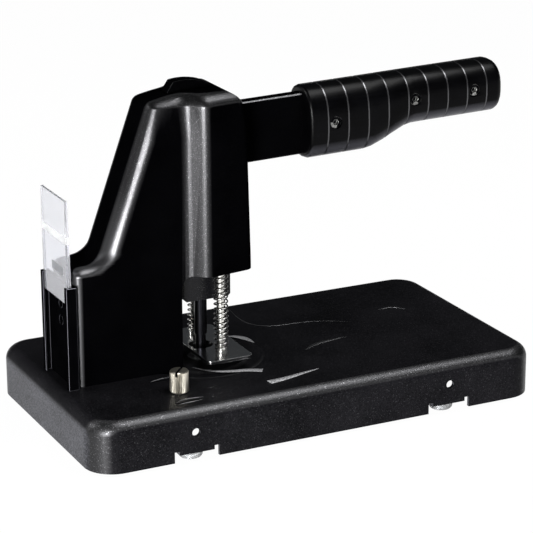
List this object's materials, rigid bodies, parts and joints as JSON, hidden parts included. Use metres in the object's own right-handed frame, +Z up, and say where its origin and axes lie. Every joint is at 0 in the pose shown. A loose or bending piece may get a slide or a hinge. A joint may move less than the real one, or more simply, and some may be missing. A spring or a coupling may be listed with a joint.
{
  "type": "hole punch",
  "caption": "Heavy duty desk hole punch: pressed base, tall cover over a steel C-frame, cam lever with a two-part grip, ram, sprung stripper plate and die.",
  "frame": {"origin": "on the floor, under the middle of the whole outline", "axes": "+X along the base from the rear channel toward the handle, +Y away from the near side wall, +Z up"},
  "size_m": [0.2905, 0.154, 0.1965],
  "materials": {
    "base_paint": "black powder coat with a fine grain, slightly sparkling",
    "tower_paint": "satin black coat with a fine orange-peel texture",
    "channel_plastic": "smooth black, half gloss",
    "clear_plastic": "clear moulded plastic",
    "clear_rubber": "translucent clear rubber",
    "zinc": "zinc plated",
    "plate_steel": "bare steel plate, lightly oiled",
    "black_steel": "black oxide steel",
    "tool_steel": "hardened and ground",
    "tray_plastic": "moulded, matt black",
    "bronze": "sintered bronze",
    "lever_steel": "satin black coated steel",
    "grip_plastic": "moulded black plastic, soft sheen",
    "grip_screw_steel": "bright socket screws",
    "ram_steel": "black, oiled, half gloss",
    "punch_steel": "blackened tool steel",
    "nickel": "nickel plated, bright",
    "polished_steel": "polished steel",
    "thumb_nickel": "nickel plated brass, knurled"
  },
  "bodies": {
    "base": {"base_cover": "base_paint", "rubber_feet": "clear_rubber", "foot_screws": "zinc", "foot_nuts": "zinc", "bolster": "plate_steel", "bolster_bolts": "black_steel", "die": "tool_steel", "chip_tray": "tray_plastic", "tray_screws": "zinc", "frame_near": "plate_steel", "frame_far": "plate_steel", "foot_block": "plate_steel", "rear_block": "plate_steel", "ram_guide_front": "tool_steel", "ram_guide_rear": "tool_steel", "frame_screws": "zinc", "stop_pin": "tool_steel", "tower_cover": "tower_paint", "rear_channel": "channel_plastic", "channel_screws": "black_steel", "pivot_pin": "tool_steel", "retaining_rings": "black_steel", "spacer_rings": "bronze", "spring_seat": "plate_steel", "return_spring": "nickel", "thumb_nut": "zinc"},
    "lever": {"lever_bar": "lever_steel", "pivot_bush": "bronze", "grip_near": "grip_plastic", "grip_far": "grip_plastic", "grip_screws": "grip_screw_steel", "grip_nuts": "zinc"},
    "ram": {"ram": "ram_steel", "ram_pad": "tool_steel", "crosshead": "plate_steel", "set_screws": "black_steel", "punch": "punch_steel"},
    "stripper": {"stripper_plate": "polished_steel", "guide_rods": "nickel", "rod_collars": "nickel", "rod_heads": "black_steel", "spring_near": "nickel", "spring_far": "nickel"},
    "door": {"clear_door": "clear_plastic"},
    "thumbscrew": {"thumbscrew": "thumb_nickel"}
  },
  "joints": [
    {"name": "lever_hinge", "type": "hinge", "parent": "base", "child": "lever", "pos_m": [-0.06517, 0, 0.1574], "axis": [0, 1, 0], "range_deg": [0, 26], "stiffness_Nm_per_rad": 1, "springref_deg": -80.21},
    {"name": "ram_slide", "type": "slide", "parent": "base", "child": "ram", "axis": [0, 0, -1], "range_m": [0, 0.00801], "deforming": ["return_spring"]},
    {"name": "stripper_slide", "type": "slide", "parent": "ram", "child": "stripper", "axis": [0, 0, 1], "range_m": [0, 0.00341], "deforming": ["spring_near", "spring_far"]},
    {"name": "door_slide", "type": "slide", "parent": "base", "child": "door", "axis": [0, 0, 1], "range_m": [-0.049, 0.006]},
    {"name": "thumb_turn", "type": "hinge", "parent": "base", "child": "thumbscrew", "pos_m": [-0.08224, -0.047, 0.0305], "axis": [0, 0, 1], "continuous": true}
  ],
  "couplings": [
    {"joint": "ram_slide", "follows": "lever_hinge", "m_per_rad": 0.017629},
    {"joint": "stripper_slide", "follows": "lever_hinge", "m_per_rad": 0.0074925}
  ]
}
